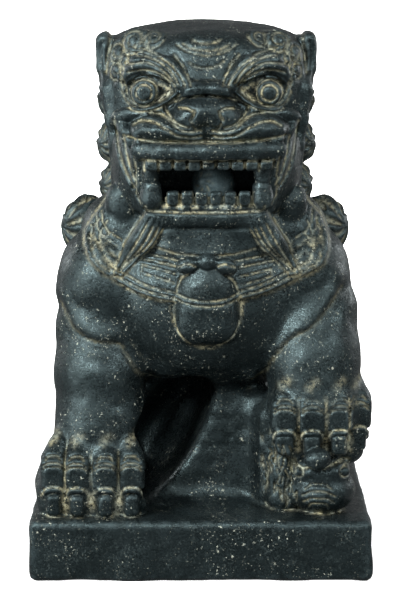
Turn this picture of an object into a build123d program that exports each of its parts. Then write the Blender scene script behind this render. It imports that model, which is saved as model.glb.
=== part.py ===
"""A seated guardian lion (foo dog) statue in dark cast stone, on its own plinth.

The lion sits upright and faces -Y. Its own right is -X and its own left is +X, and +Z is up.
The origin is the middle of the plinth's underside. All sizes are in millimetres.

The stone is modelled as the masses that a carver roughs out one by one. Each mass is a separate
solid, cut where it meets the masses made before it, so that they touch face to face. The only
part that is loose in the real statue is the round pearl between the jaws.
"""
from build123d import *
import math
import os

# ---- driving dimensions ---------------------------------------------------------------------
HEIGHT = 500.0                      # plinth underside to the crown of the head
PLINTH_W, PLINTH_D, PLINTH_H = 314.0, 320.0, 57.0
PLINTH_CORNER_R, PLINTH_EDGE_R = 12.0, 5.0

HEAD_X = 5.5                        # the head sits a little to the lion's left of the plinth
SKULL_W, SKULL_D = 168.0, 150.0
SKULL_BASE_Z = 404.0
SKULL_BACK_Y = 52.0
EYE_SPREAD, EYE_Z, EYE_R = 56.5, 442.0, 15.0
MOUTH_W = 118.0                     # the row of upper teeth, end to end
CAVITY_FLOOR_Z, CAVITY_CEILING_Z = 337.5, 383.0
CAVITY_BACK_Y = -46.0
CAVITY_W = 106.0
LIP_TOP_Z = CAVITY_CEILING_Z + 17
GUM_TOP_Z = CAVITY_FLOOR_Z + 6
TOOTH_T = 7.0                       # front to back

PEARL_R = 20.5
PEARL_X, PEARL_Y = 11.5, -92.0
PEARL_GAP = 0.6                     # the pearl stands clear of the floor of the mouth by this

FORELEG_X = 96.0
TOE_COUNT = 4

MIN_FRAGMENT = 0.02                 # a cut-off crumb smaller than this share is dropped

made = {}                           # node name -> its finished shape
uncut = []                          # (solid, bounding box) of every mass before it was cut


# ---- helpers --------------------------------------------------------------------------------
def ellipsoid(centre, radii, tilt=(0, 0, 0)):
    """A closed ellipsoid with three radii, turned by tilt degrees about X, Y and Z."""
    return Pos(*centre) * Rot(*tilt) * scale(Sphere(1.0), by=radii)


def ball(centre, radius):
    return Pos(*centre) * Sphere(radius)


def rounded_box(low, high, radius):
    """A box between two corners with every edge rounded."""
    size = [b - a for a, b in zip(low, high)]
    middle = [(a + b) / 2 for a, b in zip(low, high)]
    box = Pos(*middle) * Box(*size)
    return fillet(box.edges(), radius)


def column(sections):
    """A smooth limb lofted through ellipses, each given as (z, x, y, x radius, y radius)."""
    outlines = [Pos(x, y, z) * Ellipse(rx, ry) for z, x, y, rx, ry in sections]
    return loft(outlines)


def box_of(solid):
    box = solid.bounding_box(optimal=False)
    return tuple(box.min), tuple(box.max)


def boxes_meet(a, b):
    (low_a, high_a), (low_b, high_b) = a, b
    return all(low_a[i] < high_b[i] and low_b[i] < high_a[i] for i in range(3))


def add(name, shape):
    """Cuts a new mass where it meets every earlier one, and keeps it under its name.

    The earlier masses are used as they were before their own cuts, which fills the same space.
    """
    kept = []
    whole = shape.solids()
    for solid in whole:
        box = box_of(solid)
        tools = [other for other, other_box in uncut if boxes_meet(box, other_box)]
        left = solid.cut(*tools).solids() if tools else [solid]
        kept += [s for s in left if s.volume > MIN_FRAGMENT * solid.volume]
    uncut.extend((solid, box_of(solid)) for solid in whole)
    made[name] = Compound(kept) if len(kept) > 1 else kept[0]


# ---- plinth and body ------------------------------------------------------------------------
def plinth():
    block = Pos(0, 0, PLINTH_H / 2) * Box(PLINTH_W, PLINTH_D, PLINTH_H)
    block = fillet(block.edges().filter_by(Axis.Z), PLINTH_CORNER_R)
    return fillet(block.edges().group_by(Axis.Z)[-1], PLINTH_EDGE_R)


def torso():
    """Rump on the plinth, deep chest above the belly, and the back that slopes up behind."""
    return column([
        (PLINTH_H, 0, 62, 92, 70),
        (110, 0, 55, 104, 82),
        (165, 1, 27, 112, 108),
        (205, 2, 6, 124, 122),
        (252, 3, -4, 131, 117),
        (300, 3, 0, 112, 90),
        (340, 4, 6, 72, 55),
    ])


def belly_web():
    """The stone left between the forelegs, from the plinth up to the belly."""
    front, foot, top = -62.0, -96.0, 190.0
    profile = Polyline(
        (foot, PLINTH_H), (front - 8, PLINTH_H + 30), (front, PLINTH_H + 70), (front + 2, top),
        (40, top), (40, PLINTH_H), close=True,
    )
    face = Plane.YZ * make_face(profile)
    return Pos(-52, 0, 0) * extrude(face, amount=104)


def foreleg(side):
    """The right foreleg stands on the plinth and the left one is raised onto the cub."""
    x = side * FORELEG_X
    if side < 0:
        return column([
            (PLINTH_H, x - 3, -86, 52, 54),
            (PLINTH_H + 55, x, -84, 47, 46),
            (175, x + 4, -78, 38, 41),
            (235, x + 3, -66, 41, 48),
            (290, x + 9, -48, 34, 46),
        ])
    return column([
        (122, x + 9, -92, 47, 44),
        (150, x + 9, -90, 47, 44),
        (190, x + 1, -80, 43, 42),
        (240, x, -66, 42, 48),
        (290, x - 7, -48, 34, 46),
    ])


def haunch(side):
    return ellipsoid((side * 90, 62, 138), (46, 76, 84), (8, 0, 0))


def hind_paw(side):
    return rounded_box((side * 114 - 27, -28, PLINTH_H), (side * 114 + 27, 62, PLINTH_H + 34), 12)


def toe(x, y, z, width, depth, height):
    """One knuckle: an upright block with every edge rounded."""
    low, high = (x - width / 2, y - depth / 2, z), (x + width / 2, y + depth / 2, z + height)
    return rounded_box(low, high, width * 0.4)


def claw(x, y, z, width, height):
    """One blunt claw: a short upright cone."""
    return Pos(x, y, z + height / 2) * Cone(width / 2, width / 3.4, height)


def toe_places(middle, pitch, wrap):
    """The (x, y shift) of each toe; the outermost is set back where the paw wraps round."""
    xs = [middle + pitch * (i - (TOE_COUNT - 1) / 2) for i in range(TOE_COUNT)]
    outermost = max(xs, key=abs)
    return [(x, wrap if x == outermost else 0) for x in xs]


# ---- cub under the left forepaw -------------------------------------------------------------
CUB_X, CUB_Y, CUB_Z = 109.0, -116.0, 88.0


def cub_head():
    return ellipsoid((CUB_X, CUB_Y, CUB_Z), (33, 33, 31))


def cub_body():
    return ellipsoid((CUB_X - 8, CUB_Y + 60, PLINTH_H + 30), (34, 52, 34))


def cub_mane():
    return ellipsoid((CUB_X - 31, CUB_Y + 16, PLINTH_H + 22), (18, 26, 26))


# ---- head -----------------------------------------------------------------------------------
def skull():
    """The cranium and forehead, flat-topped, with the brow overhanging the muzzle."""
    low = (HEAD_X - SKULL_W / 2, SKULL_BACK_Y - SKULL_D, SKULL_BASE_Z)
    high = (HEAD_X + SKULL_W / 2, SKULL_BACK_Y, HEIGHT)
    return rounded_box(low, high, 30)


def muzzle():
    """The broad snout over the upper teeth, from cheek to cheek."""
    low, high = (HEAD_X - 74, -140, LIP_TOP_Z), (HEAD_X + 74, -60, LIP_TOP_Z + 27)
    return rounded_box(low, high, 12)


def nose_bridge():
    """The raised band that arches between the eyes and runs down to the nose."""
    low, high = (HEAD_X - 34, -136, LIP_TOP_Z + 20), (HEAD_X + 34, -92, 449)
    return rounded_box(low, high, 11)


def nose():
    low, high = (HEAD_X - 28, -152, LIP_TOP_Z + 3), (HEAD_X + 32, -120, LIP_TOP_Z + 43)
    return rounded_box(low, high, 13)


def upper_lip():
    """The roof of the mouth, with the rounded lip along its front."""
    low, high = (HEAD_X - 74, -147, CAVITY_CEILING_Z), (HEAD_X + 74, -40, LIP_TOP_Z)
    return rounded_box(low, high, 7)


def neck():
    """The neck and mane behind the mouth, from the chest up to the skull."""
    return rounded_box((HEAD_X - 84, CAVITY_BACK_Y, 300), (HEAD_X + 84, 46, SKULL_BASE_Z + 6), 18)


def lower_jaw():
    low, high = (HEAD_X - 60, -128, 320), (HEAD_X + 60, CAVITY_BACK_Y + 4, CAVITY_FLOOR_Z)
    return rounded_box(low, high, 7)


def lower_gum():
    """The front wall of the jaw, which carries the lower teeth and traps the pearl."""
    low, high = (HEAD_X - 54, -127, CAVITY_FLOOR_Z - 3), (HEAD_X + 54, -115, GUM_TOP_Z)
    return rounded_box(low, high, 2.4)


def cheek(side):
    """The side wall of the mouth."""
    inner = HEAD_X + side * CAVITY_W / 2
    outer = HEAD_X + side * 82
    low = (min(inner, outer), -112, 330)
    high = (max(inner, outer), -20, 410)
    return rounded_box(low, high, 12)


def tooth_row(count, width, low_z, high_z, y):
    """Plain teeth that stand on the flat of the lip or the gum."""
    pitch = width / count
    first = HEAD_X - width / 2 + pitch / 2
    tooth = Box(pitch * 0.86, TOOTH_T, high_z - low_z)
    middle = (low_z + high_z) / 2
    return Compound([Pos(first + pitch * i, y, middle) * tooth for i in range(count)])


def fangs(z):
    """A pair of blunt round fangs at the corners of the mouth."""
    return Compound([ball((HEAD_X + s * 49, -121, z), 9.5) for s in (-1, 1)])


def ear(side):
    """A flat upright flap against the side of the skull."""
    inner, outer = HEAD_X + side * (SKULL_W / 2 - 4), HEAD_X + side * (SKULL_W / 2 + 19)
    low, high = (min(inner, outer), -46, 432), (max(inner, outer), -2, 492)
    return rounded_box(low, high, 10)


def brow(side):
    return ellipsoid((HEAD_X + side * 50, -94, 466), (34, 13, 12), (0, side * 14, 0))


def eye(side):
    return ellipsoid((HEAD_X + side * EYE_SPREAD, -97, EYE_Z), (EYE_R, 12, EYE_R))


def beard_lobe(side):
    """The smooth drop-shaped lobe that hangs from the corner of the jaw over the collar."""
    return ellipsoid((HEAD_X + side * 78, -84, 330), (17, 20, 24), (0, side * -8, 0))


def curl_column(side):
    """Three curls of mane down the side of the head."""
    spots = [(88, 0, 427), (88, -2, 389), (86, -6, 352)]
    return Compound([ball((HEAD_X + side * x, y, z), 18) for x, y, z in spots])


def shoulder_curl(side):
    return ellipsoid((4 + side * 113, -6, 306), (26, 29, 30))


def back_curls():
    """Staggered rows of curls over the back of the head and the nape."""
    curls = []
    for row in range(5):
        count = 4 - row % 2
        for i in range(count):
            x = HEAD_X + 40 * (i - (count - 1) / 2)
            curls.append(ball((x, 48, 466 - 37 * row), 18))
    return Compound(curls)


# ---- harness and ornaments ------------------------------------------------------------------
def collar():
    """A broad bib over the chest, cut off below by a plane that rises towards the nape."""
    shell = ellipsoid((3, -28, 252), (135, 97, 97))
    keep = Pos(0, -125, 252) * Rot(39, 0, 0) * Pos(0, 0, 150) * Box(400, 420, 300)
    return shell & keep


def bell():
    """A round bell on the chest, turned about a vertical axis."""
    z0 = 212.0
    outline = Spline((0, z0), (17, z0 + 6), (28, z0 + 24), (31, z0 + 44), (27, z0 + 62), (13, z0 + 76), (0, z0 + 80))
    profile = make_face([outline, Line((0, z0 + 80), (0, z0))])
    return Pos(5, -112, 0) * revolve(Plane.XZ * profile, Axis.Z)


def bell_knot():
    return Pos(5, -118, 297) * Rot(90, 0, 0) * Torus(9, 5)


def tassel(side):
    """A fluted ribbon that hangs from the corner of the jaw and narrows to a point."""
    top, bottom = (HEAD_X + side * 50, -112, 333), (HEAD_X + side * 78, -106, 268)
    sections = [
        Plane(origin=top, z_dir=(side * 28, 6, -65)) * Ellipse(13, 8),
        Plane(origin=bottom, z_dir=(side * 28, 6, -65)) * Ellipse(5, 6),
    ]
    return loft(sections)


def tail():
    """A flame-shaped tail that lies up the middle of the back."""
    return column([
        (PLINTH_H, 0, 124, 20, 20),
        (105, 0, 128, 27, 20),
        (165, 0, 124, 26, 20),
        (215, 0, 116, 16, 16),
        (250, 0, 106, 5, 10),
    ])


def tail_curls():
    """Two curls on each side of the root of the tail."""
    return Compound([ball((s * 25, 130, z), 15) for s in (-1, 1) for z in (90, 124)])


def pearl():
    return Pos(PEARL_X, PEARL_Y, CAVITY_FLOOR_Z + PEARL_GAP + PEARL_R) * Sphere(PEARL_R)


def add_both(suffix, build):
    """Adds the same mass on the lion's right (-X) and left (+X)."""
    for side, word in ((-1, "right"), (1, "left")):
        add(f"{word}_{suffix}", build(side))


def build_body():
    add("plinth", plinth())
    add("torso", torso())
    add_both("foreleg", foreleg)
    add_both("haunch", haunch)
    add_both("hind_paw", hind_paw)
    add("belly_web", belly_web())
    add("tail", tail())
    add("tail_curls", tail_curls())


def build_paws():
    standing = toe_places(-FORELEG_X - 3, 24.6, 0)
    raised = toe_places(FORELEG_X + 14.5, 23, 10)
    add("right_fore_toes", Compound([toe(x, -131 + y, 84, 23, 44, 36) for x, y in standing]))
    add("right_fore_claws", Compound([claw(x, -145 + y, PLINTH_H, 15, 27) for x, y in standing]))
    add("left_fore_toes", Compound([toe(x, -123 + y, 127, 21.6, 42, 42) for x, y in raised]))
    add("left_fore_claws", Compound([claw(x, -137 + y, 112, 14, 15) for x, y in raised]))
    for side, word in ((-1, "right"), (1, "left")):
        places = toe_places(side * 114, 13.6, 0)
        row = [toe(x, -26, PLINTH_H, 12.6, 26, 27) for x, _ in places]
        add(f"{word}_hind_toes", Compound(row))


def build_cub():
    add("cub_head", cub_head())
    add("cub_body", cub_body())
    add("cub_mane", cub_mane())
    add("cub_nose", ball((CUB_X - 2, CUB_Y - 27, CUB_Z + 24), 10))
    add("cub_eyes", Compound([ball((CUB_X + s * 21, CUB_Y - 23, CUB_Z + 9), 6) for s in (-1, 1)]))


def build_head():
    add("skull", skull())
    add("muzzle", muzzle())
    add("nose_bridge", nose_bridge())
    add("nose", nose())
    add("upper_lip", upper_lip())
    add("neck", neck())
    add("lower_jaw", lower_jaw())
    add("lower_gum", lower_gum())
    add_both("cheek", cheek)
    made["upper_teeth"] = tooth_row(9, MOUTH_W, 374, CAVITY_CEILING_Z, -136)
    made["lower_teeth"] = tooth_row(6, 76, GUM_TOP_Z, 354, -121)
    add("upper_fangs", fangs(375))
    add("lower_fangs", fangs(354))
    add_both("eye", eye)
    add_both("brow", brow)
    add_both("ear", ear)
    add_both("beard_lobe", beard_lobe)
    add_both("curl_column", curl_column)
    add("back_curls", back_curls())


def build_harness():
    add("collar", collar())
    add_both("shoulder_curl", shoulder_curl)
    add("bell", bell())
    add("bell_knot", bell_knot())
    add_both("tassel", tassel)


def main():
    os.makedirs("parts", exist_ok=True)
    build_body()
    build_paws()
    build_cub()
    build_head()
    build_harness()
    made["mouth_pearl"] = pearl()
    for name, shape in made.items():
        export_step(shape, f"parts/{name}.step")


main()
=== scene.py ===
"""The looks of a seated guardian lion in dark carved stone.

The stone is sculpted as a signed distance field: masses are joined with soft or sharp creases,
hollows are carved out, lines are chiselled in, and each CAD node's share of the stone is meshed
as its own closed piece. Sculpting is in millimetres, in the CAD's frame. The lion faces -Y.
"""
import math

import bpy
import numpy as np
from mathutils import Euler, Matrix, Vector


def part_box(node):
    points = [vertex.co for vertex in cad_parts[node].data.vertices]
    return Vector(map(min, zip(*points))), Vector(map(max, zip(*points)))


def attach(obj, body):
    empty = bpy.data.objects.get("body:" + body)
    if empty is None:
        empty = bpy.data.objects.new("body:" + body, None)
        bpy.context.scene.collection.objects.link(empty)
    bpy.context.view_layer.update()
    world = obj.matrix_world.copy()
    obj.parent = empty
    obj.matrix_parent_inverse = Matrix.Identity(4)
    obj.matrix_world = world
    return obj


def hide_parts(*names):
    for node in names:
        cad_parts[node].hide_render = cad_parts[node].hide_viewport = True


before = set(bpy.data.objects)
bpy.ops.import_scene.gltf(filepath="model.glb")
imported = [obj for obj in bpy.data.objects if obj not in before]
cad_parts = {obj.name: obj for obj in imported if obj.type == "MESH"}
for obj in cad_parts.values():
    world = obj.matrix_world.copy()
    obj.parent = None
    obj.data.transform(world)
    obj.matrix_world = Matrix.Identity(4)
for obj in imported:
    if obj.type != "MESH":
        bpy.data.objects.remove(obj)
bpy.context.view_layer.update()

MM = 0.001
FAR = 16.0  # distances are tracked up to this far from the surface
COARSE = 1.0
FINE_STEP = 0.95 * COARSE  # the sampling step of the paws, the face and the harness
HEAD_STEP = 1.4 * COARSE
BODY_STEP = 2.2 * COARSE
PLINTH_STEP = 2.5 * COARSE
CREASE_REACH = 2.2  # how far around a point the stone is compared, for narrow creases
HOLLOW_REACH = 6  # and for broad hollows
SEAM = 3.0  # how gently one node's stone sinks under its neighbour's
HX = 5.5  # the head's middle in X
CORNERS = list(np.ndindex(2, 2, 2))  # of a grid cell


# ---- shapes ----
class Shape:
    """A solid given by its signed distance, with the lowest and highest corner of its box."""

    def __init__(self, low, high, distance):
        self.low, self.high, self.distance = np.array(low), np.array(high), distance


def turned(turn):
    """The rotation matrix for a turn in degrees about X, Y and Z."""
    return np.array(Euler([math.radians(a) for a in turn]).to_matrix())


def local(x, y, z, centre, spin):
    """Coordinates in a frame at centre whose axes are the columns of spin."""
    x, y, z = x - centre[0], y - centre[1], z - centre[2]
    return [x * spin[0, i] + y * spin[1, i] + z * spin[2, i] for i in range(3)]


def egg(centre, radii, turn=(0, 0, 0)):
    spin = turned(turn)
    reach = np.sqrt(((spin * np.array(radii)) ** 2).sum(axis=1))

    def distance(x, y, z):
        p = local(x, y, z, centre, spin)
        near = np.sqrt(sum((a / r) ** 2 for a, r in zip(p, radii)) + 1e-8)
        slope = np.sqrt(sum((a / r ** 2) ** 2 for a, r in zip(p, radii)) + 1e-12)
        return near * (near - 1) / slope

    return Shape(centre - reach, centre + reach, distance)


def ball(centre, radius):
    def distance(x, y, z):
        return np.sqrt((x - centre[0]) ** 2 + (y - centre[1]) ** 2 + (z - centre[2]) ** 2) - radius

    return Shape(np.array(centre) - radius, np.array(centre) + radius, distance)


def slab(centre, size, radius, turn=(0, 0, 0)):
    """A box with rounded edges."""
    spin = turned(turn)
    half = np.array(size) / 2
    reach = np.abs(spin) @ half

    def distance(x, y, z):
        p = local(x, y, z, centre, spin)
        q = [np.abs(a) - (h - radius) for a, h in zip(p, half)]
        outside = np.sqrt(sum(np.maximum(a, 0) ** 2 for a in q))
        return outside + np.minimum(np.maximum(np.maximum(q[0], q[1]), q[2]), 0) - radius

    return Shape(centre - reach, centre + reach, distance)


def cone(a, b, ra, rb):
    """A rod from a to b with round ends, whose radius goes from ra to rb."""
    a, b = np.array(a, float), np.array(b, float)
    along = b - a
    length2 = along @ along

    def distance(x, y, z):
        x, y, z = x - a[0], y - a[1], z - a[2]
        t = np.clip((x * along[0] + y * along[1] + z * along[2]) / length2, 0, 1)
        reach = (x - t * along[0]) ** 2 + (y - t * along[1]) ** 2 + (z - t * along[2]) ** 2
        return np.sqrt(reach) - (ra + (rb - ra) * t)

    return Shape(np.minimum(a - ra, b - rb), np.maximum(a + ra, b + rb), distance)


def rods(points, radii):
    """A chain of rods; radii is one number or one for each point."""
    radii = np.broadcast_to(radii, len(points))
    return [cone(*pair) for pair in zip(points, points[1:], radii, radii[1:])]


def above_plane(shape, point, normal):
    """The part of a shape on the side of a plane that its normal points to."""
    normal = np.array(normal) / np.linalg.norm(normal)

    def distance(x, y, z):
        side = (x - point[0]) * normal[0] + (y - point[1]) * normal[1] + (z - point[2]) * normal[2]
        return np.maximum(shape.distance(x, y, z), -side)

    return Shape(shape.low, shape.high, distance)


def curve(points, per_span=5):
    """A smooth curve through the points (Catmull-Rom)."""
    p = np.array(points, float)
    p = np.vstack([2 * p[0] - p[1], p, 2 * p[-1] - p[-2]])
    t = np.linspace(0, 1, per_span, endpoint=False)[:, None]
    spans = []
    for a, b, c, d in zip(p, p[1:], p[2:], p[3:]):
        spans.append(0.5 * (2 * b + (c - a) * t + (2 * a - 5 * b + 4 * c - d) * t ** 2
                            + (3 * b - a - 3 * c + d) * t ** 3))
    return np.vstack(spans + [p[-2:-1]])


def oval(x, z, wide, high, start, end, count):
    """Points on an oval seen from the front, between two angles in radians."""
    return [(x + wide * math.cos(a), z + high * math.sin(a)) for a in np.linspace(start, end, count)]


def mirrored(points):
    """The same (x, ...) points on the other side of the head's middle."""
    return [(2 * HX - p[0], *p[1:]) for p in points]


# ---- the carving, as an ordered list of steps ----
steps = []  # (the function that applies the step to a block, its values)
homes = {}  # node: the name of the block that meshes it


def mass(node, block, shapes, blend=2.0, inner=3.0):
    """A node's own stone. inner joins its shapes to each other and blend joins it to the rest."""
    homes[node] = block
    steps.append((apply_mass, node, shapes, blend, inner))


def carve(shape, blend=2.0):
    """Takes a shape away from the stone, with an edge rounded by blend."""
    steps.append((apply_carve, shape, blend))


def stroke(points, width, depth, reach=(-200, 200), smooth=True, dust=0.8):
    """A line of (x, z) points drawn on the stone: a groove, or a ridge where depth is negative.

    reach is the stretch of Y where the line acts. dust is how much pale dust stays in it.
    """
    line = curve(points) if smooth else np.array(points, float)
    steps.append((apply_stroke, line, width, depth, reach, dust if depth > 0 else 0))


def plate(points, height, soft=1.6, reach=(-200, 0), dust=0.6):
    """Raises the stone inside an outline seen from the front, leaving dust along the edge."""
    steps.append((apply_plate, np.array(points + points[:1], float), height, soft, reach, dust))


def swirl(centre, axis, radius, arms, twist, depth, inner=2.5):
    """Spiral flutes around an axis, as on a curl of mane."""
    steps.append((apply_swirl, np.array(centre, float), Vector(axis).normalized(), radius, arms, twist,
                  depth, inner))


# ---- evaluating the steps on a grid ----
class Grid:
    """The sample points of a box of space, a regular step apart."""

    def __init__(self, low, high, step):
        self.step = step
        ends = [(math.floor(a / step), math.ceil(b / step)) for a, b in zip(low, high)]
        self.axes = [np.arange(a, b + 1, dtype=np.float32) * np.float32(step) for a, b in ends]
        self.shape = tuple(len(axis) for axis in self.axes)

    def window(self, low, high):
        """The slices that cover a box, or None if the box is outside."""
        cuts = []
        for axis, a, b in zip(self.axes, low, high):
            i, j = np.searchsorted(axis, (a, b))
            if j <= 1 or i >= len(axis) - 1:
                return None
            cuts.append(slice(max(i - 1, 0), min(j + 1, len(axis))))
        return tuple(cuts)

    def coordinates(self, cut):
        x, y, z = (axis[c] for axis, c in zip(self.axes, cut))
        return x[:, None, None], y[None, :, None], z[None, None, :]


def soft_min(a, b, k):
    """The smaller of two distances, with the crease between them rounded over k."""
    if k <= 0:
        return np.minimum(a, b)
    h = np.clip(0.5 + 0.5 * (b - a) / k, 0, 1)
    return b + (a - b) * h - k * h * (1 - h)


def field_of(shapes, inner, grid, cut):
    """The distance field of one mass inside a window of the grid."""
    field = np.full(tuple(c.stop - c.start for c in cut), FAR, np.float32)
    for shape in shapes:
        part = grid.window(shape.low - FAR, shape.high + FAR)
        if part is None:
            continue
        inside = tuple(slice(p.start - c.start, p.stop - c.start) for p, c in zip(part, cut))
        d = np.minimum(shape.distance(*grid.coordinates(part)), FAR)
        field[inside] = soft_min(field[inside], d, inner)
    return field


def distance_to_line(u, v, line):
    """Distance from each (u, v) to a line of points in the plane."""
    best = np.full(np.broadcast(u, v).shape, 1e6, np.float32)
    for a, b in zip(line, line[1:]):
        d = b - a
        t = np.clip(((u - a[0]) * d[0] + (v - a[1]) * d[1]) / max(d @ d, 1e-6), 0, 1)
        np.minimum(best, (u - a[0] - t * d[0]) ** 2 + (v - a[1] - t * d[1]) ** 2, out=best)
    return np.sqrt(best)


class Block:
    """A block of space that holds the carving as sampled distances, and the dust on it."""

    def __init__(self, name, low, high, step):
        self.name = name
        self.grid = Grid(low, high, step)
        self.field = np.full(self.grid.shape, FAR, np.float32)
        self.dust = np.zeros(self.grid.shape, np.float32)
        self.lowest = self.field.copy()     # the distance to the nearest mass
        self.second = self.field.copy()     # and to the next nearest
        self.own = {}                       # node: (window, distances), for the nodes meshed here

    def add_dust(self, cut, dust):
        self.dust[cut] = np.maximum(self.dust[cut], dust)


def apply_mass(block, node, shapes, blend, inner):
    low, high = np.min([s.low for s in shapes], axis=0), np.max([s.high for s in shapes], axis=0)
    cut = block.grid.window(low - FAR, high + FAR)
    if cut is None:
        return
    d = field_of(shapes, inner, block.grid, cut)
    if homes[node] == block.name:
        block.own[node] = (cut, d)
    block.field[cut] = soft_min(block.field[cut], d, blend)
    block.dust[cut] *= np.clip((d - block.lowest[cut]) / 2 + 0.5, 0, 1)
    block.second[cut] = np.minimum(block.second[cut], np.maximum(block.lowest[cut], d))
    block.lowest[cut] = np.minimum(block.lowest[cut], d)


def apply_carve(block, shape, blend):
    cut = block.grid.window(shape.low - FAR, shape.high + FAR)
    if cut is None:
        return
    hole = np.minimum(shape.distance(*block.grid.coordinates(cut)), FAR)
    block.field[cut] = -soft_min(-block.field[cut], hole, blend)


def within(y, reach):
    """1 where Y is inside reach, and less just outside it."""
    return np.clip(np.minimum(y - reach[0], reach[1] - y) / 4 + 1, 0, 1)


def apply_stroke(block, line, width, depth, reach, dust):
    (x0, z0), (x1, z1) = line.min(axis=0) - 3 * width, line.max(axis=0) + 3 * width
    cut = block.grid.window((x0, reach[0], z0), (x1, reach[1], z1))
    if cut is None:
        return
    x, y, z = block.grid.coordinates(cut)
    share = np.exp(-(distance_to_line(x, z, line) / width) ** 2) * within(y, reach)
    block.field[cut] += depth * share
    if dust:
        block.add_dust(cut, dust * share ** 3)


def apply_plate(block, outline, height, soft, reach, dust):
    (x0, z0), (x1, z1) = outline.min(axis=0) - 3 * soft, outline.max(axis=0) + 3 * soft
    cut = block.grid.window((x0, reach[0], z0), (x1, reach[1], z1))
    if cut is None:
        return
    x, y, z = block.grid.coordinates(cut)
    away = distance_to_line(x, z, outline)
    inside = np.zeros(away.shape, bool)
    for a, b in zip(outline, outline[1:]):
        if a[1] != b[1]:
            crossing = a[0] + (z - a[1]) * (b[0] - a[0]) / (b[1] - a[1])
            inside ^= ((z < a[1]) != (z < b[1])) & (x < crossing)
    depth = np.where(inside, away, -away)
    edge = within(y, reach)
    block.field[cut] -= height * np.clip(depth / soft + 0.5, 0, 1) * edge
    block.add_dust(cut, dust * np.exp(-((depth + soft * 0.5) / 0.9) ** 2) * edge)


def apply_swirl(block, centre, axis, radius, arms, twist, depth, inner):
    cut = block.grid.window(centre - radius, centre + radius)
    if cut is None:
        return
    side = axis.orthogonal().normalized()
    spin = np.array([side, axis.cross(side), axis]).T
    u, v, w = local(*block.grid.coordinates(cut), centre, spin)
    r = np.sqrt(u * u + v * v) + 1e-3
    flutes = np.cos(arms * np.arctan2(v, u) + twist * np.log(r / radius))
    ends = np.clip((r - inner) / 3, 0, 1) * np.clip((radius - r) / 3, 0, 1)
    groove = (0.5 - 0.5 * flutes) * ends * np.clip(w / 3 + 1, 0, 1)
    block.field[cut] += depth * groove
    block.add_dust(cut, 0.5 * groove ** 4)


def noise(grid, spacing, seed):
    """Smooth random values, the same at the same place in every block."""
    start = -300.0
    count = int(1000 / spacing)
    values = np.random.default_rng(seed).standard_normal((count,) * 3).astype(np.float32)
    for i, axis in enumerate(grid.axes):
        place = (axis - start) / spacing
        low = np.floor(place).astype(int)
        t = place - low
        t = (t * t * (3 - 2 * t)).reshape([-1 if n == i else 1 for n in range(3)])
        values = np.take(values, low, axis=i) * (1 - t) + np.take(values, low + 1, axis=i) * t
    return values


def blurred(a, reach):
    """A box blur, reach samples each way."""
    for i in range(3):
        pad = [(reach + 1, reach) if n == i else (0, 0) for n in range(3)]
        total = np.cumsum(np.pad(a, pad, mode="edge"), axis=i, dtype=np.float32)
        size = a.shape[i]
        ends = np.take(total, range(2 * reach + 1, 2 * reach + 1 + size), axis=i)
        a = (ends - np.take(total, range(size), axis=i)) / (2 * reach + 1)
    return a


def sampled(field, grid, points):
    """Trilinear values of a field at points."""
    place = [(points[:, i] - grid.axes[i][0]) / grid.step for i in range(3)]
    low = [np.clip(p.astype(int), 0, n - 2) for p, n in zip(place, grid.shape)]
    t = [np.clip(p - i, 0, 1) for p, i in zip(place, low)]
    total = 0
    for dx, dy, dz in CORNERS:
        weight = (t[0] if dx else 1 - t[0]) * (t[1] if dy else 1 - t[1]) * (t[2] if dz else 1 - t[2])
        total = total + weight * field[low[0] + dx, low[1] + dy, low[2] + dz]
    return total


# ---- meshing ----
def surface_nets(field, origin, step):
    """Vertices and quads where the field is zero. Its outermost samples must lie outside."""
    inside = field < 0
    # how many of each cell's eight corners are inside: the surface crosses a cell with 1 to 7
    count = sum(inside[i:i - 1 or None, j:j - 1 or None, k:k - 1 or None].astype(np.int8)
                for i, j, k in CORNERS)
    active = (count > 0) & (count < 8)
    cells = np.argwhere(active)
    number = np.full(active.shape, -1, np.int64)
    number[active] = np.arange(len(cells))
    total, hits = np.zeros((len(cells), 3)), np.zeros(len(cells))
    # each vertex is the mean of the points where the surface crosses its cell's edges
    value = {c: field[tuple((cells + c).T)] for c in CORNERS}
    for a in CORNERS:
        for i in range(3):
            if a[i]:
                continue
            b = tuple(1 if n == i else v for n, v in enumerate(a))
            crosses = (value[a] < 0) != (value[b] < 0)
            share = np.where(crosses, value[a] / np.where(crosses, value[a] - value[b], 1), 0)
            place = np.array(a, float) + share[:, None] * (np.arange(3) == i)
            total += place * crosses[:, None]
            hits += crosses
    points = origin + (cells + total / hits[:, None]) * step
    # each grid edge that the surface crosses gives a quad, which joins the four cells around it
    quads = []
    for i in range(3):
        j, k = (i + 1) % 3, (i + 2) % 3
        lower = np.take(inside, range(inside.shape[i] - 1), axis=i)
        upper = np.take(inside, range(1, inside.shape[i]), axis=i)
        for start, flip in ((lower & ~upper, False), (upper & ~lower, True)):
            edges = np.argwhere(start)
            ring = []
            for dj, dk in ((1, 1), (0, 1), (0, 0), (1, 0)):
                cell = edges.copy()
                cell[:, j] -= dj
                cell[:, k] -= dk
                ring.append(number[tuple(cell.T)])
            ring = np.array(ring).T
            quads.append(ring[:, ::-1] if flip else ring)
    return points, np.vstack(quads)


def add_object(name, data):
    made = bpy.data.objects.new(name, data)
    bpy.context.scene.collection.objects.link(made)
    return made


def make_piece(name, points, quads):
    """A smooth-shaded Blender object from points in millimetres."""
    mesh = bpy.data.meshes.new(name)
    mesh.vertices.add(len(points))
    mesh.vertices.foreach_set("co", (points * MM).astype(np.float32).ravel())
    mesh.loops.add(quads.size)
    mesh.loops.foreach_set("vertex_index", quads.astype(np.int32).ravel())
    mesh.polygons.add(len(quads))
    mesh.polygons.foreach_set("loop_start", np.arange(0, quads.size, 4, dtype=np.int32))
    mesh.update(calc_edges=True)
    mesh.shade_smooth()
    return add_object(name, mesh)


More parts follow.
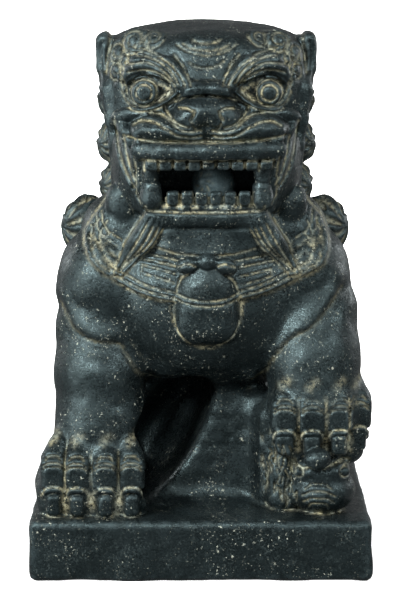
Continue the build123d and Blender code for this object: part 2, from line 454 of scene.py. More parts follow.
def roughen(block):
    """Makes the surface uneven, dented where the noise runs high, and grainy on fine blocks."""
    rough = noise(block.grid, 8, 6)
    block.field += 0.5 * noise(block.grid, 24, 5) + 0.22 * rough + 0.9 * np.clip(rough - 1.5, 0, 1)
    if block.grid.step < BODY_STEP:
        block.field += 0.10 * noise(block.grid, 3.1, 7)


def store_layer(piece, name, values):
    """Gives a piece a value at each point, for its material to read."""
    layer = piece.data.attributes.new(name, "FLOAT", "POINT")
    layer.data.foreach_set("value", values.astype(np.float32))


def sculpt(name, low, high, step):
    """Runs every step that reaches into a block, and meshes the nodes that belong to it."""
    block = Block(name, low, high, step)
    for apply, *values in steps:
        apply(block, *values)
    roughen(block)
    narrow = blurred(np.clip(block.field, -4, 4), max(round(CREASE_REACH / step), 1))
    broad = blurred(np.clip(block.field, -9, 9), max(round(HOLLOW_REACH / step), 1))
    for node, (cut, d) in block.own.items():
        rest = np.where(d <= block.lowest[cut], block.second[cut], block.lowest[cut])
        over = np.maximum((d - rest) / 2, 0)
        share = np.pad(block.field[cut] + over ** 2 / (2 * SEAM), 1, constant_values=FAR)
        origin = np.array([axis[c.start] for axis, c in zip(block.grid.axes, cut)]) - step
        points, quads = surface_nets(share, origin, step)
        piece = make_piece(node + "_stone", points, quads)
        store_layer(piece, "crease", -sampled(narrow, block.grid, points))
        store_layer(piece, "hollow", -sampled(broad, block.grid, points))
        store_layer(piece, "dust", sampled(block.dust, block.grid, points))
        finish_piece(piece, node)


def finish_piece(piece, node):
    """Gives a piece its stone, and tells the frame which body it rides and which node it shows."""
    # the pearl takes the brighter copy of the stone, which is painted light
    piece.data.materials.append(painted_light_pearl if node == "mouth_pearl" else stone)
    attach(piece, "pearl" if node == "mouth_pearl" else "statue")
    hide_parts(node)


# ---- the stone ----
# Colours, from the bare stone to the dust
DARK, GREY = (0.0030, 0.0048, 0.0052), (0.0085, 0.0125, 0.0135)
# The blue-grey on convex edges is partly wear and partly a painted highlight.
WEAR_AND_HIGHLIGHT, MOTTLE = (0.046, 0.067, 0.072, 1), (0.070, 0.092, 0.090, 1)
WARM_DUST, COOL_DUST, SPECK = (0.64, 0.59, 0.36, 1), (0.48, 0.50, 0.38, 1), (0.42, 0.44, 0.36, 1)


def set_inputs(node, values):
    for name, value in values.items():
        node.inputs[name].default_value = value


class Nodes:
    """Short ways to add shader nodes to a material."""

    def __init__(self, material):
        self.nodes, self.links = material.node_tree.nodes, material.node_tree.links
        self.place = self.add("ShaderNodeTexCoord").outputs["Object"]

    def add(self, kind, **values):
        """A node, with its inputs or its settings given by name."""
        made = self.nodes.new(kind)
        for key, value in values.items():
            if key in made.inputs:
                made.inputs[key].default_value = value
            else:
                setattr(made, key, value)
        return made

    def feed(self, sockets, values):
        """Gives each socket a plain value, or a link from another node."""
        for socket, value in zip(sockets, values):
            if isinstance(value, (int, float, tuple)):
                socket.default_value = value
            else:
                self.links.new(value, socket)

    def ramp(self, source, low, high):
        """Goes smoothly from 0 where the source is at low to 1 where it is at high."""
        made = self.add("ShaderNodeMapRange", interpolation_type="SMOOTHSTEP")
        self.feed([made.inputs[key] for key in ("Value", "From Min", "From Max")], (source, low, high))
        return made.outputs["Result"]

    def calculate(self, operation, a, b):
        made = self.add("ShaderNodeMath", operation=operation)
        self.feed(made.inputs, (a, b))
        return made.outputs[0]

    def times(self, a, b):
        return self.calculate("MULTIPLY", a, b)

    def plus(self, a, b):
        return self.calculate("ADD", a, b)

    def most(self, a, b):
        return self.calculate("MAXIMUM", a, b)

    def mix(self, share, a, b):
        """A colour that goes from a to b as share goes from 0 to 1."""
        made = self.add("ShaderNodeMix", data_type="RGBA")
        self.feed((made.inputs[0], made.inputs[6], made.inputs[7]), (share, a, b))
        return made.outputs[2]

    def layer(self, name):
        return self.add("ShaderNodeAttribute", attribute_name=name).outputs["Fac"]

    def texture(self, scale, detail=4.0, roughness=0.6):
        made = self.add("ShaderNodeTexNoise", Scale=scale, Detail=detail, Roughness=roughness)
        self.links.new(self.place, made.inputs["Vector"])
        return made.outputs["Fac"]

    def patch(self, scale, detail, roughness, low, high):
        """Patches of 1 among 0, with soft edges."""
        return self.ramp(self.texture(scale, detail, roughness), low, high)


def bare_stone(n, painted_light_gain):
    """The stone's colour: clouded, greyer on convex edges as wear and as a painted highlight, and mottled."""
    # a gain above 1 brightens every colour of the stone: painted light
    dark, grey = [tuple(c * painted_light_gain for c in colour) + (1,) for colour in (DARK, GREY)]
    base = n.mix(n.patch(28, 4.0, 0.6, 0.35, 0.7), dark, grey)
    # convex edges turn blue-grey: partly wear, partly a painted highlight
    wear_and_highlight = n.times(n.ramp(n.layer("crease"), -0.02, -0.6), n.patch(110, 6, 0.75, 0.42, 0.60))
    base = n.mix(n.times(wear_and_highlight, 0.8), base, WEAR_AND_HIGHLIGHT)
    mottle = n.times(n.patch(480, 3, 0.7, 0.52, 0.68), n.patch(48, 4, 0.7, 0.38, 0.60))
    return n.mix(n.times(mottle, 0.6), base, MOTTLE)


def dust_share(n, patches):
    """Dust in the creases, along the carved lines and in the deep hollows."""
    dust = n.times(n.ramp(n.layer("crease"), 0.35, 1.1), n.ramp(patches, 0.40, 0.62))
    dust = n.most(dust, n.times(n.layer("dust"), n.ramp(patches, 0.24, 0.44)))
    deep = n.times(n.ramp(n.layer("hollow"), 0.8, 2.6), n.patch(130, 5, 0.75, 0.47, 0.60))
    dust = n.most(dust, n.times(deep, 0.8))
    return n.times(dust, n.patch(240, 5, 0.8, 0.40, 0.57))


def speck_share(n):
    """Small pale specks in clusters, and a few larger ones."""
    small = n.times(n.patch(560, 2, 0.5, 0.65, 0.69), n.patch(38, 4, 0.7, 0.50, 0.66))
    large = n.times(n.patch(300, 3, 0.6, 0.64, 0.67), n.patch(24, 3, 0.6, 0.50, 0.60))
    return n.most(small, large)


def stone_material(name, painted_light_gain=1.0):
    """Near-black stone with bluish highlights, pale dust and specks."""
    material = bpy.data.materials.new(name)
    material.use_nodes = True
    n = Nodes(material)
    grain, patches = n.texture(520, 4, 0.7), n.texture(75, 6, 0.7)
    dust, speck = dust_share(n, patches), speck_share(n)
    pale = n.mix(n.patch(60, 4.0, 0.6, 0.4, 0.6), WARM_DUST, COOL_DUST)
    colour = n.mix(speck, n.mix(dust, bare_stone(n, painted_light_gain), pale), SPECK)
    rough = n.plus(n.times(n.ramp(patches, 0.3, 0.7), 0.14), 0.18)
    rough = n.plus(rough, n.times(n.most(dust, speck), 0.4))
    rough = n.plus(rough, n.times(n.ramp(grain, 0.42, 0.58), 0.24))
    height = n.plus(n.times(grain, 0.6), n.times(patches, 1.9))
    height = n.calculate("SUBTRACT", height, n.times(speck, 0.5))
    bump = n.add("ShaderNodeBump", Strength=0.5, Distance=0.0010)
    n.links.new(height, bump.inputs["Height"])
    shader = n.nodes["Principled BSDF"]
    n.links.new(colour, shader.inputs["Base Color"])
    n.links.new(rough, shader.inputs["Roughness"])
    n.links.new(bump.outputs["Normal"], shader.inputs["Normal"])
    set_inputs(shader, {"Specular IOR Level": 0.5, "Specular Tint": (0.72, 1.0, 1.03, 1)})
    return material


stone = stone_material("carved_stone")
# The pearl's copy is twelve times brighter: painted light, as the pearl sits in the mouth's shade.
painted_light_pearl = stone_material("pearl_with_painted_light", 12.0)


# ---- plinth and body ----
def shape_trunk():
    mass("plinth", "plinth", [slab((0, 0, 28), (313, 319, 56.5), 6.5)], 0)
    mass("torso", "body", [
        egg((3, -31, 243), (120, 100, 87)), egg((2, 22, 236), (100, 92, 106)),
        egg((0, 60, 145), (100, 76, 100)), egg((3, 0, 310), (92, 60, 44)),
        egg((-90, -56, 262), (44, 54, 52)), egg((94, -54, 270), (44, 54, 48)),
    ], 4, 18)


def shape_forelegs():
    """The standing leg on the lion's right and the raised one on its left."""
    mass("right_foreleg", "body", rods(
        [(-92, -50, 262), (-93, -66, 225), (-93, -80, 180), (-93, -88, 135), (-97, -94, 100)],
        [38, 40, 40, 39, 42])
        + [egg((-101, -97, 82), (49, 46, 40)), slab((-100, -108, 72), (100, 66, 36), 13)], 5, 14)
    mass("left_foreleg", "body", rods(
        [(98, -50, 270), (101, -66, 235), (103, -82, 195), (107, -92, 156)], [38, 43, 43, 43])
        + [egg((112, -91, 148), (46, 42, 26)), slab((111, -92, 119), (82, 58, 42), 15),
           slab((70, -76, 100), (38, 50, 96), 10, (0, 0, 14))], 5, 12)


def shape_hind_legs():
    for side, word in ((-1, "right"), (1, "left")):
        mass(word + "_haunch", "body", [egg((side * 90, 62, 138), (47, 76, 86), (8, 0, 0))], 6)
        mass(word + "_hind_paw", "body", [slab((side * 114, 18, 73), (54, 92, 36), 14)], 4)
        toes = [egg((side * 114 + 13.6 * i, -26, 70), (7.4, 16, 15)) for i in (-1.5, -0.5, 0.5, 1.5)]
        mass(word + "_hind_toes", "body", toes, 1.5, 0.5)


def shape_belly():
    """The stone left between the legs, with the deep hollow beside the right foreleg."""
    mass("belly_web", "body", [slab((4, -14, 112), (108, 90, 150), 10),
                               slab((8, -46, 92), (108, 62, 130), 10, (-5, 0, 0))], 20, 14)
    carve(egg((-38, -62, 116), (31, 90, 76), (0, 33, 0)), 9)


def shape_tail():
    mass("tail", "body", rods([(0, 122, 60), (0, 132, 105), (0, 128, 165), (0, 116, 225), (0, 104, 262)],
                              [20, 24, 24, 15, 5]), 2, 10)
    curls = [(s, (s * 25, 130, z)) for s in (-1, 1) for z in (92, 126)]
    mass("tail_curls", "body", [ball(centre, 17) for _, centre in curls], 1, 1)
    for s, centre in curls:
        swirl(centre, (s * 0.3, 1, 0), 17, 1, 7 * s, 2.4)


def shape_cub_body():
    mass("cub_body", "body", [egg((101, -56, 87), (36, 52, 34))], 4)


def shape_chest_folds():
    """The chest hangs over the legs in a fold on each side."""
    folds = [[(-129, 246), (-116, 224), (-97, 214), (-75, 211), (-68, 200), (-54, 180), (-36, 173)],
             [(130, 262), (114, 241), (99, 226), (84, 218), (68, 199), (59, 182), (47, 171)]]
    for fold in folds:
        for drop, width, depth in ((-8, 8, -2.2), (8, 9, 2.6), (0, 1.8, 2.0)):
            line = [(x, z - drop) for x, z in fold]
            stroke(line, width, depth, reach=(-200, -50), dust=0 if drop else 0.3)


# ---- paws and cub ----
# Each toe's middle in X, and how far it stands back from the row
RIGHT_TOES = [(-134.5, 1), (-113, -1.5), (-87, -1.5), (-63, 0)]
LEFT_TOES = [(77, 0), (102, -2), (127.5, 0), (145, 17)]


def toe(x, y, z, width, middle):
    """One toe from the paw's back over the knuckle to its last joint; z is its middle."""
    inward = (middle - x) * 0.22
    back = rods([(x + inward, y + 26, z + 32), (x + inward / 2, y + 12, z + 22), (x, y + 3, z + 12)],
                [width * 0.34, width * 0.44, width * 0.50])
    return back + [slab((x, y, z), (width, 27, 32), 6.5)]


def cuticle(x, y, z, half):
    """The rim of skin that arches over a claw."""
    arch = [(-0.85, 9, -8), (-0.9, 4, -3), (-0.55, 0, 1.2), (0.55, 0, 1.2), (0.9, 4, -3), (0.85, 9, -8)]
    return rods([(x + a * half, y + b, z + c) for a, b, c in arch], 3.1)


def shape_toes(node, block, places, y, z, width, claw):
    """A row of toes with their claws, knuckle wrinkles, and dust on and between them."""
    middle = sum(x for x, _ in places) / 4
    toes = []
    for x, back in places:
        toes += toe(x, y + back, z, width, middle) + cuticle(x, y + back - 13, z - 14.5, width * 0.37)
    mass(node + "_toes", block, toes, 3, 0.8)
    mass(node + "_claws", block, [claw(x, y + back) for x, back in places], 0.4, 0)
    for x, back in places:
        for rise, size in ((16.5, 7), (11, 9), (7.5, 9.5)):
            arc = [(x + size * a, z + rise + b) for a, b in ((-1, -3), (-0.5, 0), (0.5, 0), (1, -3))]
            stroke(arc, 1.1, 1.2, reach=(y + back - 40, y + back + 22), dust=0.4)
        rim = [(x + width * share, z - drop)
               for share, drop in ((-0.5, 22), (-0.27, 12), (0.27, 12), (0.5, 22))]
        stroke(rim, 1.1, 0.9, reach=(y + back - 40, y + back + 22), dust=1)
        stroke([(x - 3, z + 27), (x + 3, z + 33)], 5, 0.1, reach=(y - 30, y + 60), smooth=False, dust=0.42)
    for left, right in zip(places, places[1:]):
        gap = (left[0] + right[0]) / 2
        stroke([(gap, z - 32), (gap, z - 20)], 4.2, 0.8, reach=(y - 24, y + 40), smooth=False, dust=1)
        stroke([(gap, z - 20), (gap, z - 4), (gap, z + 18)], 1.3, 1.2, reach=(y - 40, y + 40), dust=0.7)


def shape_paws():
    shape_toes("right_fore", "right_paw", RIGHT_TOES, -132, 96, 23.5,
               lambda x, y: slab((x, y - 8, 68), (14, 17, 22), 6))
    shape_toes("left_fore", "left_paw", LEFT_TOES, -121, 147, 24.5,
               lambda x, y: slab((x, y - 7.5, 122), (16, 17, 20), 5))


def shape_cub():
    """The cub's face, tufts and nose under the raised paw."""
    mass("cub_head", "left_paw", [egg((112, -114, 76), (31, 31, 22)),
                                  egg((111, -120, 96), (27, 22, 15))], 3, 6)
    mass("cub_mane", "left_paw", [slab((76, -100, 84), (32, 46, 60), 13, (0, 0, 12))], 3)
    mass("cub_nose", "left_paw", [egg((107, -141, 110), (12.5, 11, 11))], 1)
    mass("cub_eyes", "left_paw", [ball((111 + s * 21, -130, 97), 5.4) for s in (-1, 1)], 0.6)
    for s in (-1, 1):
        stroke(oval(111 + s * 22, 97, 5.2, 5.2, 0, 6.4, 12), 1.1, 1.2, reach=(-160, -118))
    stroke([(112, 101), (121, 104), (136, 106)], 1.6, 2.4, reach=(-160, -100))
    stroke([(84, 103), (94, 100), (100, 103)], 1.6, 2.0, reach=(-160, -100))
    for z, half in ((86, 12), (80, 15), (74, 14), (69, 9)):
        whiskers = [(108 - half, z - 4), (102, z), (114, z), (108 + half, z - 4)]
        stroke(whiskers, 1.0, 1.1, reach=(-165, -110), dust=0.45)
    dice = np.random.default_rng(3)
    for _ in range(60):
        x, z, slant = dice.uniform(58, 88), dice.uniform(60, 118), dice.uniform(-4, 4)
        hair = [(x, z), (x + slant, z + dice.uniform(5, 10))]
        stroke(hair, 1.1, 1.3, reach=(-150, -70), smooth=False, dust=0.45)


# ---- head ----
def both(node, block, build, **blends):
    """The same mass on the lion's right (-1) and left (+1)."""
    for side, word in ((-1, "right"), (1, "left")):
        mass(f"{word}_{node}", block, build(side), **blends)


def groove_pair(points, width, depth, reach, dust=0.8):
    for line in (points, mirrored(points)):
        stroke(line, width, depth, reach=reach, dust=dust)


FACE = (-190, -55)  # the stretch of Y where lines on the face are drawn
EYE = (-51, 442)  # the middle of the rings on the lion's right eye, seen from the front
CURLS = [(87, 0, 430), (88, -2, 387), (85, -6, 348)]  # beside the head, from its middle
LOCKS = [(64, -62, 485, 13), (47, -70, 488, 9), (79, -56, 474, 10), (80, -62, 458, 8)]
BACK_CURLS = [(HX + 40 * (i - (count - 1) / 2), 46, 466 - 37 * row)
              for row, count in enumerate((4, 3, 4, 3, 4)) for i in range(count)]
UPPER_PITCH, LOWER_PITCH = 12.9, 13
FANGS = {"upper_fangs": ((50, -118, 379), (50.5, -119, 366), 9.5, 7.5),  # root, tip, radii
         "lower_fangs": ((50.5, -117, 346), (50, -118, 357), 10.5, 8.5)}


def side_points(points, s):
    """Points given from the head's middle, on the side s: -1 is the lion's right, +1 its left."""
    return [(HX + s * x, y, z) for x, y, z in points]


def jaw_bar(y_ends, y_middle, z, radius):
    """A bar that bends across the lower jaw."""
    return rods([(HX - 50, y_ends, z), (HX - 20, y_middle, z), (HX + 20, y_middle, z), (HX + 50, y_ends, z)],
                radius)


def shape_skull():
    skull = [slab((HX, -14, 443), (178, 132, 90), 27), egg((HX, -58, 444), (82, 46, 46)),
             egg((HX, -14, 478), (94, 74, 25)), egg((HX, -70, 470), (52, 28, 24))]
    skull += [ball((HX + s * x, y + 5, z - 2), r) for s in (-1, 1) for x, y, z, r in LOCKS]
    neck = [slab((HX, 0, 356), (166, 92, 124), 26)]
    for s in (-1, 1):
        skull += rods(side_points([(94, -40, 466), (90, -56, 440), (88, -60, 412)], s), [6, 6, 5])
        neck += rods(side_points([(88, -60, 414), (85, -62, 390), (82, -62, 350)], s), 5)
    mass("skull", "head", skull, 4, 10)
    mass("neck", "head", neck, 5, 5)


def shape_jaws():
    """The cheeks, jaw, upper lip and muzzle around the mouth's hollow."""
    both("cheek", "face", lambda s: [egg((HX + s * 64, -64, 374), (19, 48, 46)),
                                     egg((HX + s * 74, -54, 372), (13, 42, 50)),
                                     slab((HX + s * 56, -80, 348), (22, 50, 34), 9)]
         + rods(side_points([(63, -116, 385), (61, -112, 362), (56, -108, 338)], s), [5.5, 5.5, 6]),
         blend=4, inner=7)
    mass("lower_jaw", "face", jaw_bar(-108, -119, 330, 9) + [slab((HX, -86, 329), (108, 76, 17), 6)], 2, 3)
    mass("upper_lip", "face", rods([(HX - 59, -124, 391), (HX - 40, -134, 391), (HX + 2, -139, 391.5),
                                    (HX + 44, -134, 392), (HX + 63, -124, 391)], 9.4)
         + [slab((HX + 2, -92, 391), (124, 84, 17), 6)], 1.5, 4)
    mass("muzzle", "face", [slab((HX + 2, -94, 404), (134, 72, 14), 5), egg((HX + 2, -98, 413), (70, 40, 19)),
                            egg((HX, -94, 425), (64, 29, 22)), egg((HX - 34, -110, 410), (35, 33, 14)),
                            egg((HX + 38, -110, 411), (36, 33, 14))], 1.5, 8)
    carve(slab((HX, -84, 361), (106, 74, 45), 12), 5)


def shape_nose():
    """The nose under the fold that arches over it and runs out to the cheeks."""
    arch = [(67, -112, 396), (73, -108, 407), (80, -98, 417), (74, -104, 421.5), (62, -110, 424),
            (48, -116, 427.5), (34, -121, 435.5), (21, -126, 443), (9, -128, 447)]
    bridge = []
    for s in (-1, 1):
        bridge += rods(curve(side_points(arch, s), 3), 5.2)
    bridge += rods([(HX - 9, -128, 447), (HX + 9, -128, 447)], 5.2)
    mass("nose_bridge", "face", bridge + [egg((HX, -100, 440), (38, 26, 12))], 2.5, 4)
    mass("nose", "face", [egg((HX + 1, -117, 425), (31, 28, 17.5)), egg((HX - 17, -129, 420), (13, 14, 10)),
                          egg((HX + 19, -129, 420), (13, 14, 10))], 0.8, 9)


def shape_eyes_and_ears():
    both("brow", "face", lambda s: rods(side_points([(76, -82, 454), (60, -94, 468), (38, -100, 465),
                                                     (21, -108, 452)], s), [6, 8, 9, 7]), blend=4, inner=5)
    for s in (-1, 1):
        carve(egg((HX + s * 49, -129, 442), (28, 16, 14), (0, s * 4, 0)), 6)
    both("eye", "face", lambda s: [egg((HX + s * 56.5, -108, 442), (13.6, 8.5, 13.6))], blend=0.8)
    both("ear", "head", lambda s: [slab((HX + s * 93.5, -24, 472), (20, 46, 42), 9.5),
                                   egg((HX + s * 91, -24, 450), (10, 26, 24))], blend=2.5, inner=5)
    groove_pair([(-90, 484), (-92, 478), (-92, 466), (-90, 458)], 2.4, 2.0, (-60, -30), 0)
    groove_pair([(-84, 496), (-84, 484), (-86, 470), (-87, 456)], 2.2, 2.6, (-80, 10), 0.3)


def shape_curls():
    """The beard's lobes, and the curls beside and behind the head."""
    both("beard_lobe", "face", lambda s: [egg((HX + s * 77, -82, 334), (15, 14, 24), (0, s * 12, 0))],
         blend=1.6)
    both("curl_column", "head", lambda s: [egg(c, (17, 26, 22.5)) for c in side_points(CURLS, s)],
         blend=1, inner=0.5)
    mass("back_curls", "head", [egg(c, (21, 19, 19.5)) for c in BACK_CURLS], 1, 0.5)


def shape_teeth():
    teeth_x = HX + 2
    upper = [slab((teeth_x + UPPER_PITCH * i, -133, 379.5), (12.4, 10, 10), 2.6) for i in range(-4, 5)]
    upper += [slab((teeth_x, -129, 380), (116, 8, 9), 2)]
    mass("upper_teeth", "face", upper, 0.3, 0)
    mass("lower_gum", "face", jaw_bar(-113, -120, 339, 5.2), 1)
    lower = [slab((teeth_x + LOWER_PITCH * (i + 0.5), -121, 347.5), (12, 9, 13), 3) for i in range(-3, 3)]
    lower += [slab((teeth_x, -118, 345), (80, 6, 9), 2)]
    mass("lower_teeth", "face", lower, 0.3, 0)
    for name, (root, tip, wide, narrow) in FANGS.items():
        mass(name, "face", [cone(*side_points([root, tip], s), wide, narrow) for s in (-1, 1)], 1.2)
    stroke([(-53, 383.5), (HX, 383.5), (62, 383.5)], 1.3, 1.4, reach=(-150, -115), dust=1)
    for i in range(-4, 6):
        x = teeth_x + UPPER_PITCH * (i - 0.5)
        stroke([(x, 384), (x, 373)], 1.6, 1.0, reach=(-145, -120), smooth=False, dust=1)
    for i in range(-3, 4):
        x = teeth_x + LOWER_PITCH * i
        stroke([(x, 353), (x, 340)], 1.5, 1.0, reach=(-140, -108), smooth=False, dust=0.9)
        stroke([(x - 2, 340), (x, 343), (x + 2, 340)], 2.2, 0.5, reach=(-140, -108), smooth=False, dust=1)


def draw_curls():
    """The spirals on every curl and lock of the head."""
    for x, y, z in BACK_CURLS:
        swirl((x, y + 4, z), (0, 1, 0.1), 20, 1, 7, 2.4)
    for s in (-1, 1):
        for x, y, z in CURLS:
            swirl((HX + s * x, y - 6, z), (s, -0.75, 0.1), 27, 9, 4 * s, 2.4, 3)
        for x, y, z, r in LOCKS:
            swirl((HX + s * x, y, z), (s * 0.4, -1, 0.3), r + 5, 1, 8 * s, 1.6, 1.5)


def draw_brows():
    """The hairs of the brows, two curled wisps, and the wrinkles of the forehead."""
    brows = [
        [(-60, 480), (-49, 478), (-38, 474), (-27, 467), (-19, 458), (-14, 449)],
        [(-58, 475), (-46, 473), (-35, 468), (-26, 460), (-20, 450)],
        [(-68, 466), (-57, 468), (-46, 468), (-36, 463), (-28, 456), (-23, 448)],
        [(-66, 459), (-54, 462), (-43, 461), (-34, 457), (-27, 451)],
        [(-24, 475), (-17, 467), (-13, 459), (-9, 450)],
        [(-72, 474), (-75, 464), (-72, 455), (-69, 448), (-66, 436), (-59, 429)],
    ]
    for line in brows:
        groove_pair(line, 1.3, 1.6, FACE, 0.6)
    for line in ([(-80, 474), (-77, 466), (-70, 462), (-73, 452), (-71, 444)],
                 [(-72, 478), (-66, 472), (-69, 465)]):
        groove_pair(line, 1.2, 1.3, FACE)
    for z, half, drop in ((484, 27, 9), (484.5, 21, 6), (488, 13, 3)):
        arc = [(HX + half * a, z - drop * b) for a, b in ((-1, 0), (-0.6, 0.7), (0, 1), (0.6, 0.7), (1, 0))]
        stroke(arc, 1.1, 1.1, reach=(-190, -20), dust=0.6)
    stroke([(-10, 468), (-3, 464), (6, 463), (15, 465), (21, 469)], 1.1, 1.0, reach=FACE, dust=0.5)


def draw_eyes():
    """The lids, the rings of the eyeball and the dusty inner corners."""
    lids = [[(-70, 443), (-65, 451), (-57, 456), (-47, 457.5), (-38, 456), (-29, 452), (-21, 445)],
            [(-70, 441), (-66, 433), (-58, 428), (-44, 429), (-31, 435), (-21, 443)]]
    for line in lids:
        groove_pair(line, 1.5, -1.6, FACE)
    groove_pair([(-72, 441), (-67, 431), (-58, 425.5), (-43, 427), (-29, 433), (-19, 441)], 1.2, 1.0, FACE)
    for radius, depth in ((7.2, 1.5), (12, 1.6)):
        groove_pair(oval(*EYE, radius, radius, 0, 6.3, 18), 1.1, depth, FACE, 1.0)
    groove_pair([(-37, 448), (-32, 446), (-27, 443), (-32, 439), (-37, 436)], 2.8, 0.4, FACE, 1.0)


def draw_muzzle():
    """The folds of the whisker pads, the nostrils and the groove under the nose."""
    pads = [[(-61, 414), (-53, 418), (-42, 417.5), (-32, 413), (-21, 406), (-7, 404), (0, 405)],
            [(-46, 425), (-36, 424), (-26, 418), (-18, 411), (-7, 409), (0, 410)],
            [(-33, 431), (-28, 423), (-20, 416), (-10, 413)]]
    for line in pads:
        groove_pair(line, 1.4, 2.2, FACE)
    groove_pair([(-19, 430), (-11, 430), (-6, 426), (-9, 420)], 1.4, 2.4, (-190, -115))
    groove_pair([(-33, 427), (-28, 432.5), (-15, 438.5), (-2, 440.5), (HX, 440.5)], 1.3, 1.6,
                (-190, -110), 0.1)
    groove_pair([(-5, 428), (-8, 419), (-4, 411)], 1.5, 1.3, (-190, -110), 0.3)
    stroke([(HX, 422), (HX, 403)], 5.0, 1.8, reach=(-190, -110), dust=0)


def draw_mouth():
    """The lines around the mouth and on the cheeks."""
    stroke([(-66, 403), (-44, 400.5), (-20, 400), (10, 400), (34, 400), (56, 402), (76, 405)], 1.5, 1.8,
           reach=(-190, -90))
    stroke([(-50, 341), (-44, 336), (HX, 335), (52, 336), (58, 341)], 1.3, 1.5, reach=(-160, -90))
    groove_pair([(-60, 386), (-58, 372), (-58, 352), (-54, 343)], 1.2, 1.3, (-160, -90), 0.6)
    groove_pair([(-78, 416), (-76, 398), (-72, 380), (-66, 366), (-60, 357)], 1.8, 2.0, (-130, -45), 0.5)
    groove_pair([(-69, 404), (-67, 386), (-62, 370), (-57, 360)], 1.4, 1.4, (-130, -45), 0.7)


# ---- collar and ornaments ----
# The collar's lower edge, seen from the front, from the lion's right round to its left
RIM = [(-90, 337), (-99, 325), (-107, 311), (-105, 297), (-98, 285), (-80, 272), (-56, 261), (-30, 255.5),
       (4, 253), (38, 256.5), (58, 261), (78, 268), (94, 275), (111, 284), (117, 295), (117, 311), (112, 325),
       (101, 337)]
BELL_X = 6


def toward_neck(points, share):
    """The same points drawn in towards the collar's middle."""
    return [(x + (BELL_X - x) * share, z + (312 - z) * share) for x, z in points]


def shape_collar():
    """The collar's bib and the curls on the shoulders beside it."""
    bib = above_plane(egg((3, -30, 250), (127, 101, 96)), (0, -125, 255), (0, -0.63, 0.777))
    mass("collar", "bib", [bib, slab((HX + 2, -96, 309), (92, 42, 40), 14),
                            slab((HX, -56, 316), (140, 66, 56), 24)]
         + [egg((4 + s * 72, -52, 309), (43, 42, 39)) for s in (-1, 1)], 3, 10)
    both("shoulder_curl", "bib", lambda s: [egg((4 + s * 112, -16, 308), (25, 28, 30))], blend=1.5)
    for s in (-1, 1):
        swirl((4 + s * 120, -18, 310), (s, -0.7, 0.3), 30, 8, 4 * s, 2.4, 5)
    plate(list(curve(RIM)) + [(90, 352), (-80, 352)], 3.2)


def draw_collar():
    """The double rim, the raised panel and the key pattern around it."""
    reach = (-160, -30)
    for share, depth in ((0.055, 1.4), (0.13, 1.3)):
        for side in (RIM[1:8], RIM[9:-1]):
            stroke(toward_neck(side, share), 1.1, depth, reach=reach)
    panel = [(-31, 327), (46, 327), (60, 305), (31, 297.5), (HX, 296), (-20, 297.5), (-46, 305)]
    plate(panel, 1.8)
    stroke([(-43, 334), (HX, 333), (54, 334)], 1.2, 1.3, reach=reach)
    for line in ([(-52, 296), (-35, 294), (-17, 290)], [(-56, 291), (-38, 289), (-18, 285)],
                 [(31, 290), (48, 293), (64, 295)], [(33, 284), (50, 287), (66, 289)]):
        stroke(line, 1.0, 1.4, reach=reach)
    hairpins = ([(-22, 279), (-36, 283), (-53, 286), (-54, 279), (-38, 275), (-24, 271)],
                [(34, 276), (48, 279), (64, 282), (65, 276), (50, 272), (37, 269)])
    keys = ([(-91, 332), (-90, 321), (-84, 313), (-72, 306)],
            [(-96, 327), (-95, 316), (-88, 307), (-84, 311), (-88, 318)],
            [(-101, 318), (-98, 308), (-92, 299), (-84, 306), (-76, 300)],
            [(-74, 289), (-84, 297), (-90, 291), (-82, 284), (-74, 280)])
    keys += tuple([(x + 1, z) for x, z in mirrored(line)] for line in keys)
    for line in hairpins + keys:
        stroke(line, 1.0, 1.4, reach=reach, smooth=False)


def shape_tassels():
    both("tassel", "bib", lambda s: rods([(HX + s * 45, -109, 328), (HX + s * 58, -110, 306),
                                          (HX + s * 77, -98, 281)], [13, 11, 6]), blend=2)
    for s in (-1, 1):
        ribbon = [(-49, 335), (-30, 329), (-43, 305), (-72, 275), (-80, 276), (-68, 306)]
        plate(mirrored(ribbon) if s > 0 else ribbon, 2.6)
        for top, middle in ((44.5, 57), (50, 64), (39, 52)):
            line = [(HX + s * top, 331), (HX + s * middle, 306), (HX + s * 80, 279)]
            stroke(line, 1.1, 1.6, reach=(-160, -90))


def shape_bell():
    """The bell with its band and rim, under a knot of three lobes."""
    mass("bell", "bib", [slab((BELL_X, -120, 238), (60, 42, 50), 18),
                         egg((BELL_X, -118, 264), (30, 25, 31))], 0.8, 6)
    mass("bell_knot", "bib", [egg((-12, -133, 288), (10.5, 8, 8.5), (0, -15, 0)),
                              egg((24, -133, 287), (10.5, 8, 8.5), (0, 15, 0)),
                              ball((BELL_X, -133, 291), 8)], 1.8, 5)
    groove_pair([(-20, 287), (-12, 290), (-5, 288)], 1.1, 1.2, (-170, -110), 0.9)
    for drop in (0, 5):
        band = [(x, z - drop) for x, z in ((-25, 263), (-12, 258.5), (BELL_X, 256.5), (25, 258.5), (37, 263))]
        stroke(band, 1.1, 1.3, reach=(-170, -100))
    stroke(oval(BELL_X, 247, 31.5, 36, 2.8, 6.62, 18), 1.3, 1.4, reach=(-160, -90), dust=1.0)
    for cord in ([(-22, 262), (-18, 275), (-10, 281)], [(35, 262), (30, 273), (23, 279)]):
        stroke(cord, 1.2, 1.2, reach=(-160, -90))


def shape_pearl():
    """The ball between the jaws, sized and placed as in the CAD. Returns its middle."""
    low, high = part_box("mouth_pearl")
    centre = np.array((low + high) / 2) / MM
    mass("mouth_pearl", "pearl", [ball(centre, (high - low).x / 2 / MM - 0.3)], 0)
    swirl(centre + (-9, -15, 2), (-0.5, -0.85, 0.1), 14, 7, 3, 1.5, 3)
    return centre


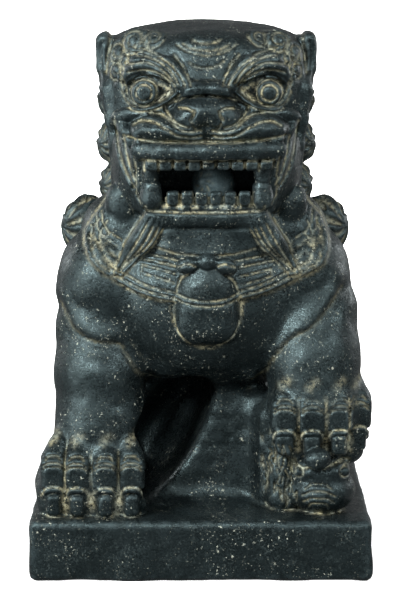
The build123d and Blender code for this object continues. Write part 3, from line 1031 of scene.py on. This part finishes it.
for shape_part in (shape_trunk, shape_forelegs, shape_hind_legs, shape_belly, shape_tail, shape_cub_body,
                   shape_chest_folds, shape_paws, shape_cub, shape_collar, draw_collar, shape_tassels,
                   shape_bell, shape_skull, shape_jaws, shape_nose, shape_eyes_and_ears, shape_curls,
                   shape_teeth, draw_curls, draw_brows, draw_eyes, draw_muzzle, draw_mouth):
    shape_part()
sculpt("plinth", (-164, -167, -7), (164, 167, 70), PLINTH_STEP)
sculpt("body", (-165, -158, 48), (165, 160, 350), BODY_STEP)
sculpt("right_paw", (-158, -162, 50), (-42, -84, 140), FINE_STEP)
sculpt("left_paw", (50, -163, 50), (166, -62, 188), FINE_STEP)
sculpt("face", (-90, -162, 308), (101, -20, 492), FINE_STEP)
sculpt("head", (-112, -130, 300), (124, 74, 510), HEAD_STEP)
sculpt("bib", (-146, -152, 200), (152, 26, 350), FINE_STEP)
steps.clear()
pearl_middle = shape_pearl()
sculpt("pearl", pearl_middle - 26, pearl_middle + 26, FINE_STEP)


# ---- floor, lights and camera ----
def floor_material():
    """White paper with a little light of its own."""
    material = bpy.data.materials.new("floor_paper")
    material.use_nodes = True
    set_inputs(material.node_tree.nodes["Principled BSDF"],
               {"Base Color": (0.92, 0.92, 0.92, 1), "Roughness": 0.9,
                "Emission Color": (1, 1, 1, 1), "Emission Strength": 0.80})
    return material


def add_floor():
    """A pale round sweep: flat under the statue and rising far away on every side."""
    profile = [(0.01, 0), (3.6, 0), (4.4, 0.12), (5.0, 0.5), (5.3, 1.1), (5.4, 2), (5.4, 9)]
    sides = 48
    points = [(r * math.cos(math.tau * k / sides), r * math.sin(math.tau * k / sides), z)
              for r, z in profile for k in range(sides)]
    faces = [(ring + k, ring + (k + 1) % sides, ring + sides + (k + 1) % sides, ring + sides + k)
             for ring in range(0, (len(profile) - 1) * sides, sides) for k in range(sides)]
    faces.append(tuple(range(sides)))
    mesh = bpy.data.meshes.new("floor")
    mesh.from_pydata(points, [], faces)
    mesh.shade_smooth()
    mesh.materials.append(floor_material())
    floor = add_object("floor", mesh)
    floor.visible_glossy = floor.visible_diffuse = floor.visible_shadow = False


def add_light(name, place, size, power, target, spread=180):
    """A square lamp of this size in metres and power in watts, aimed at target."""
    light = bpy.data.lights.new(name, "AREA")
    light.size, light.energy, light.spread = size, power, math.radians(spread)
    lamp = add_object(name, light)
    lamp.location = place
    lamp.rotation_euler = (Vector(target) - lamp.location).to_track_quat("-Z", "Y").to_euler()


def add_camera():
    """A long lens 2.2 m in front, looking down by about ten degrees."""
    camera = add_object("camera", bpy.data.cameras.new("camera"))
    camera.data.lens, camera.data.sensor_width = 138.4, 36
    camera.data.clip_end = 60
    camera.location = (0, -2.190, 0.608)
    camera.rotation_euler = (math.radians(90 - 9.7), 0, 0)
    bpy.context.scene.camera = camera


def add_world():
    """An even white surrounding light, and plain colours without a film look."""
    world = bpy.data.worlds.new("studio")
    world.use_nodes = True
    set_inputs(world.node_tree.nodes["Background"], {"Color": (1, 1, 1, 1), "Strength": 0.22})
    bpy.context.scene.world = world
    bpy.context.scene.view_settings.view_transform = "Standard"


add_floor()
add_light("key", (-1.15, -1.3, 1.3), 0.45, 44, (0, -0.1, 0.34))
add_light("left", (-1.5, -0.7, 0.45), 0.4, 10, (0, -0.1, 0.25))
add_light("right", (1.3, -1.1, 1.25), 0.4, 14, (0, -0.1, 0.32))
add_light("front", (0.1, -2.3, 1.6), 0.7, 14, (0, -0.1, 0.36))
add_light("back_left", (-1.9, 1.3, 0.8), 0.6, 9, (0, 0.1, 0.3))
add_light("back_right", (1.9, 1.3, 0.8), 0.6, 9, (0, 0.1, 0.3))
add_light("backdrop", (0, 1.6, 3.2), 2.5, 250, (0, 3.6, 0), 100)
add_world()
add_camera()
